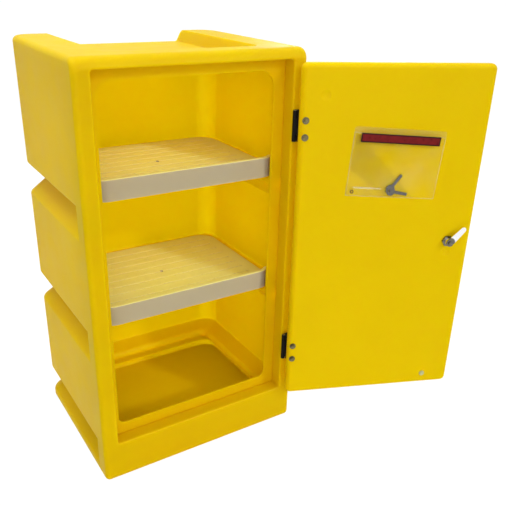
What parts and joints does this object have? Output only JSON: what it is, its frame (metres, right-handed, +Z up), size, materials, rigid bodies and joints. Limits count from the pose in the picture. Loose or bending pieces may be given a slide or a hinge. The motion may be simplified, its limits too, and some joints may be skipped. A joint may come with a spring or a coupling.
{
  "type": "storage cabinet",
  "caption": "Tall moulded storage cabinet with a hinged lockable door, loose tray shelves on moulded ridges, a sump in its base and a document wallet with spare keys inside the door.",
  "frame": {"origin": "centre of the cabinet's base, on the floor", "axes": "+Z up, +X to the hinge side, -Y out of the front"},
  "size_m": [0.9153, 0.6688, 0.98],
  "materials": {
    "yellow_polyethylene": "satin",
    "natural_polyethylene": "satin",
    "black_hinge": "satin",
    "plated_steel": "satin",
    "lock_metal": "polished",
    "clear_film": "clear",
    "red_strip": "printed",
    "eyelet_brass": "polished",
    "key_metal": "satin"
  },
  "bodies": {
    "cabinet": {"cabinet_body": "yellow_polyethylene", "hinge_upper_frame_leaf": "black_hinge", "hinge_lower_frame_leaf": "black_hinge", "hinge_upper_pin": "plated_steel", "hinge_lower_pin": "plated_steel", "hinge_frame_bolts": "plated_steel", "hinge_frame_washers": "plated_steel", "hinge_frame_nuts": "plated_steel"},
    "door": {"door_panel": "yellow_polyethylene", "door_vent_plug": "yellow_polyethylene", "hinge_upper_door_leaf": "black_hinge", "hinge_lower_door_leaf": "black_hinge", "hinge_door_bolts": "plated_steel", "hinge_door_washers": "plated_steel", "hinge_door_nuts": "plated_steel", "lock_barrel": "lock_metal", "lock_clamp_nut": "lock_metal", "wallet_backing": "clear_film", "wallet_pocket": "clear_film", "wallet_strip": "red_strip", "wallet_eyelet": "eyelet_brass", "key_ring": "key_metal", "key_one": "key_metal", "key_two": "key_metal"},
    "lock_core": {"lock_plug": "lock_metal", "lock_cam": "plated_steel", "lock_cam_screw": "plated_steel"},
    "shelf_upper": {"shelf_upper": "natural_polyethylene"},
    "shelf_lower": {"shelf_lower": "natural_polyethylene"}
  },
  "joints": [
    {"name": "door_hinge", "type": "hinge", "parent": "cabinet", "child": "door", "pos_m": [0.232, -0.2303, 0.54], "axis": [0, 0, 1], "range_deg": [-157.5, 18.5]},
    {"name": "lock_turn", "type": "hinge", "parent": "door", "child": "lock_core", "pos_m": [0.58758, -0.41319, 0.52925], "axis": [-0.3827, -0.9239, 0], "range_deg": [-48, 42]},
    {"name": "shelf_upper_lift", "type": "slide", "parent": "cabinet", "child": "shelf_upper", "axis": [0, 0, 1], "range_m": [0, 0.2]},
    {"name": "shelf_lower_lift", "type": "slide", "parent": "cabinet", "child": "shelf_lower", "axis": [0, 0, 1], "range_m": [0, 0.19]}
  ]
}
